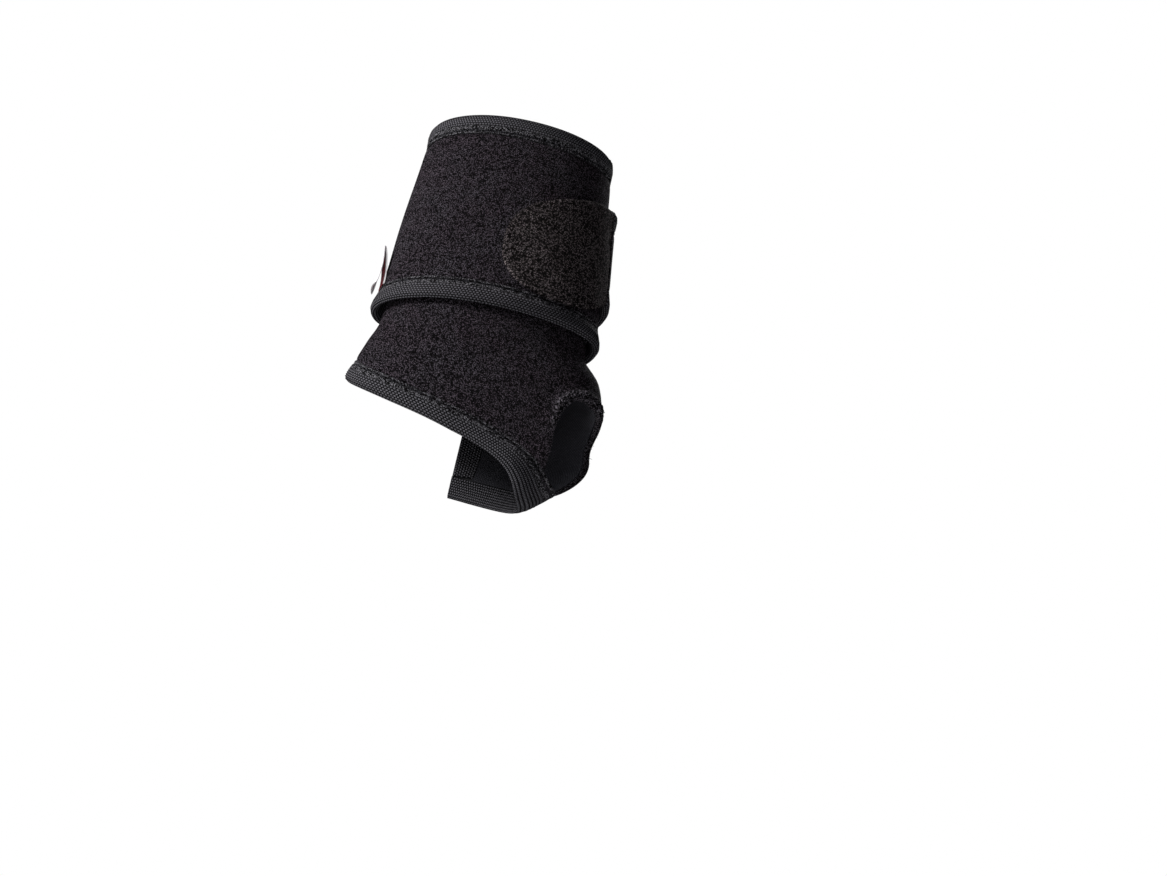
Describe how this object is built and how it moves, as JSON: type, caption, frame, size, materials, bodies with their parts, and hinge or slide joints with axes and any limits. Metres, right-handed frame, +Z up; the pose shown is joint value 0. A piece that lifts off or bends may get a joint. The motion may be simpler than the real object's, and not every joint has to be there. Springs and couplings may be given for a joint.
{
  "type": "wrist splint",
  "caption": "Soft wrap-around wrist support with a thumb hole, bound edges and a hook-and-loop tab, in its wound, worn shape.",
  "frame": {"origin": "on the axis of the wearer's forearm at the crease of the wrist", "axes": "+Z up the forearm towards the elbow, +X towards the thumb, -Y out of the back of the hand"},
  "size_m": [0.099, 0.0602, 0.1497],
  "materials": {
    "jersey": "smooth knitted nylon lining",
    "foam": "matt closed-cell foam rubber",
    "pile": "brushed loop pile, matt, faintly speckled",
    "tape": "ribbed elastic binding tape",
    "hook": "moulded nylon micro hooks",
    "felt": "needled felt, longer fibres, brown-charcoal",
    "label": "woven satin side label, plain"
  },
  "bodies": {
    "gauntlet": {"gauntlet_lining": "jersey", "gauntlet_foam": "foam", "gauntlet_pile": "pile", "gauntlet_lower_binding": "tape", "gauntlet_upper_binding": "tape", "start_end_binding": "tape"},
    "dorsal_wrap": {"dorsal_wrap_lining": "jersey", "dorsal_wrap_foam": "foam", "dorsal_wrap_pile": "pile", "dorsal_wrap_lower_binding": "tape", "dorsal_wrap_upper_binding": "tape"},
    "palmar_wrap": {"palmar_wrap_lining": "jersey", "palmar_wrap_foam": "foam", "palmar_wrap_pile": "pile", "palmar_wrap_lower_binding": "tape", "palmar_wrap_upper_binding": "tape", "side_label": "label"},
    "strap_end": {"strap_end_lining": "jersey", "strap_end_foam": "foam", "strap_end_pile": "pile", "strap_end_lower_binding": "tape", "strap_end_upper_binding": "tape"},
    "hook_tab": {"tab_hook_patch": "hook", "tab_felt_back": "felt"}
  },
  "joints": [
    {"name": "unwind_dorsal", "type": "hinge", "parent": "gauntlet", "child": "dorsal_wrap", "pos_m": [0.03572, 0.01347, 0.023], "axis": [-0.0873, -0.003, 0.9962], "range_deg": [0, 20]},
    {"name": "unwind_palmar", "type": "hinge", "parent": "dorsal_wrap", "child": "palmar_wrap", "pos_m": [-0.03128, -0.01628, 0.023], "axis": [0.0594, 0, 0.9982], "range_deg": [0, 40]},
    {"name": "unwind_strap", "type": "hinge", "parent": "palmar_wrap", "child": "strap_end", "pos_m": [0.01875, 0.02723, 0.023], "axis": [-0.0427, -0.0054, 0.9991], "range_deg": [0, 130]},
    {"name": "peel_tab", "type": "hinge", "parent": "strap_end", "child": "hook_tab", "pos_m": [0.04462, -0.00425, 0.023], "axis": [-0.0997, 0, 0.995], "range_deg": [0, 120]}
  ],
  "couplings": [
    {"joint": "unwind_palmar", "follows": "unwind_dorsal", "ratio": 2},
    {"joint": "unwind_strap", "follows": "unwind_dorsal", "ratio": 6.5}
  ]
}
